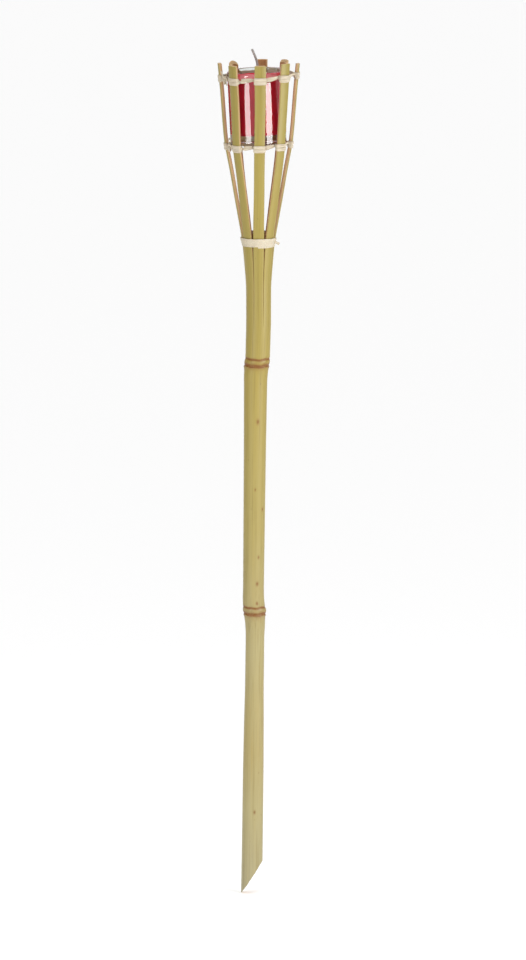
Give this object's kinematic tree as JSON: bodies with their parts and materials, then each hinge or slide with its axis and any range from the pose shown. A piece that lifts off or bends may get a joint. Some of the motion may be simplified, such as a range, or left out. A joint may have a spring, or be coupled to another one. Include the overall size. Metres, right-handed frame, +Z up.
{
  "type": "tiki torch",
  "caption": "Bamboo garden torch: a split and flared culm basket, lashed with fibre cord, holds a lift-out candle glass of red wax.",
  "frame": {"origin": "on the basket's axis, level with the tip of the foot", "axes": "+Z up along the torch; -Y is the side that stave_1 faces; +X is towards the tail of the neck binding"},
  "size_m": [0.0751, 0.0752, 0.7791],
  "materials": {
    "bamboo_culm": "natural bamboo skin, dull satin",
    "bamboo_stave": "bamboo skin outside, split bamboo sides and inner face",
    "plug_wood": "turned softwood, unfinished",
    "binding_strip": "flat white woven strip",
    "fibre_cord": "flat natural fibre cord",
    "clear_glass": "clear pressed glass",
    "red_wax": "dyed candle wax, satin",
    "wick_cotton": "braided cotton, waxed",
    "tin_plate": "pressed tinplate"
  },
  "bodies": {
    "torch": {"pole": "bamboo_culm", "stave_1": "bamboo_stave", "stave_2": "bamboo_stave", "stave_3": "bamboo_stave", "stave_4": "bamboo_stave", "stave_5": "bamboo_stave", "stave_6": "bamboo_stave", "stave_7": "bamboo_stave", "stave_8": "bamboo_stave", "spreader_plug": "plug_wood", "neck_binding": "binding_strip", "lower_lashing": "fibre_cord", "upper_lashing": "fibre_cord"},
    "candle_glass": {"glass_cup": "clear_glass", "wax": "red_wax", "wick": "wick_cotton", "wick_sustainer": "tin_plate"}
  },
  "joints": [
    {"name": "glass_lift", "type": "slide", "parent": "torch", "child": "candle_glass", "axis": [0, 0, 1], "range_m": [0, 0.085]}
  ]
}
